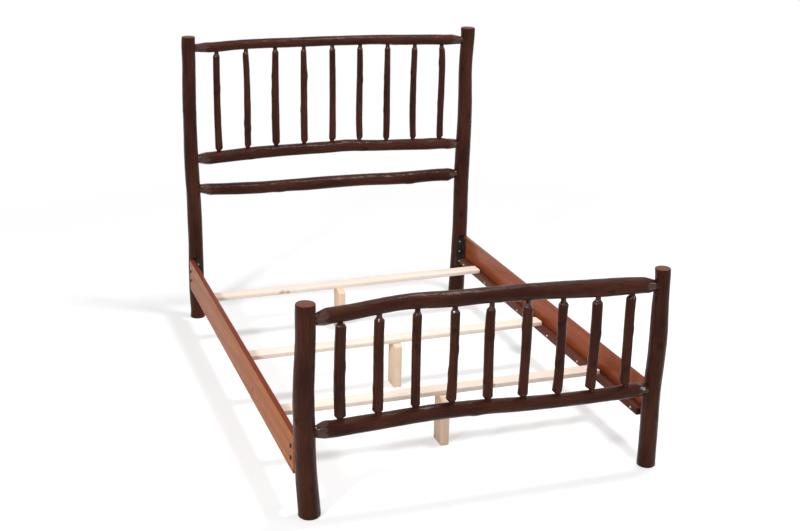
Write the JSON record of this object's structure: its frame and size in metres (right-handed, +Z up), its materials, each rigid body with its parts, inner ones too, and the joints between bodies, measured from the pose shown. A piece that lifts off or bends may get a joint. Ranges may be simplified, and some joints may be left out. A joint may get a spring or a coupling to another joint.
{
  "type": "bed",
  "caption": "Rustic full-size log bed frame: dark stained log headboard and footboard with spindles, board side rails on steel brackets, ledgers, and loose pine slats on centre legs.",
  "frame": {"origin": "on the floor, under the middle of the bed, halfway between the side rails and between headboard and footboard", "axes": "+Z up, +Y points from the footboard to the headboard, +X to the right seen from the foot of the bed"},
  "size_m": [1.4398, 2.0949, 1.359],
  "materials": {
    "dark_log": "dark walnut stain under satin lacquer, end grain and shaved necks lighter and redder",
    "stained_board": "reddish brown stain under gloss lacquer",
    "dark_strip": "dark brown stain, satin",
    "pale_pine": "raw planed softwood",
    "black_steel": "satin black paint",
    "dark_bolt": "black oxide",
    "brass_screw": "yellow plated",
    "steel_screw": "zinc plated"
  },
  "bodies": {
    "bed_frame": {"headboard_post_left": "dark_log", "headboard_post_right": "dark_log", "footboard_post_left": "dark_log", "footboard_post_right": "dark_log", "headboard_top_rail": "dark_log", "headboard_middle_rail": "dark_log", "headboard_stretcher": "dark_log", "footboard_top_rail": "dark_log", "footboard_low_rail": "dark_log", "headboard_spindle_1": "dark_log", "headboard_spindle_2": "dark_log", "headboard_spindle_3": "dark_log", "headboard_spindle_4": "dark_log", "headboard_spindle_5": "dark_log", "headboard_spindle_6": "dark_log", "headboard_spindle_7": "dark_log", "headboard_spindle_8": "dark_log", "headboard_spindle_9": "dark_log", "footboard_spindle_1": "dark_log", "footboard_spindle_2": "dark_log", "footboard_spindle_3": "dark_log", "footboard_spindle_4": "dark_log", "footboard_spindle_5": "dark_log", "footboard_spindle_6": "dark_log", "footboard_spindle_7": "dark_log", "footboard_spindle_8": "dark_log", "footboard_spindle_9": "dark_log", "side_rail_left": "stained_board", "ledger_left": "dark_strip", "ledger_screws_left": "brass_screw", "side_rail_right": "stained_board", "ledger_right": "dark_strip", "ledger_screws_right": "brass_screw", "bracket_head_left": "black_steel", "bracket_screws_head_left": "brass_screw", "rail_bolts_head_left": "dark_bolt", "rail_nuts_head_left": "dark_bolt", "bracket_head_right": "black_steel", "bracket_screws_head_right": "brass_screw", "rail_bolts_head_right": "dark_bolt", "rail_nuts_head_right": "dark_bolt", "bracket_foot_left": "black_steel", "bracket_screws_foot_left": "brass_screw", "rail_bolts_foot_left": "dark_bolt", "rail_nuts_foot_left": "dark_bolt", "bracket_foot_right": "black_steel", "bracket_screws_foot_right": "brass_screw", "rail_bolts_foot_right": "dark_bolt", "rail_nuts_foot_right": "dark_bolt"},
    "head_slat": {"head_slat": "pale_pine", "head_slat_leg": "pale_pine", "head_slat_screws": "steel_screw"},
    "middle_slat": {"middle_slat": "pale_pine", "middle_slat_leg": "pale_pine", "middle_slat_screws": "steel_screw"},
    "foot_slat": {"foot_slat": "pale_pine", "foot_slat_leg": "pale_pine", "foot_slat_screws": "steel_screw"}
  },
  "joints": [
    {"name": "head_slat_lift", "type": "slide", "parent": "bed_frame", "child": "head_slat", "axis": [0, 0, 1], "range_m": [0, 0.45]},
    {"name": "middle_slat_lift", "type": "slide", "parent": "bed_frame", "child": "middle_slat", "axis": [0, 0, 1], "range_m": [0, 0.45]},
    {"name": "foot_slat_lift", "type": "slide", "parent": "bed_frame", "child": "foot_slat", "axis": [0, 0, 1], "range_m": [0, 0.45]}
  ]
}
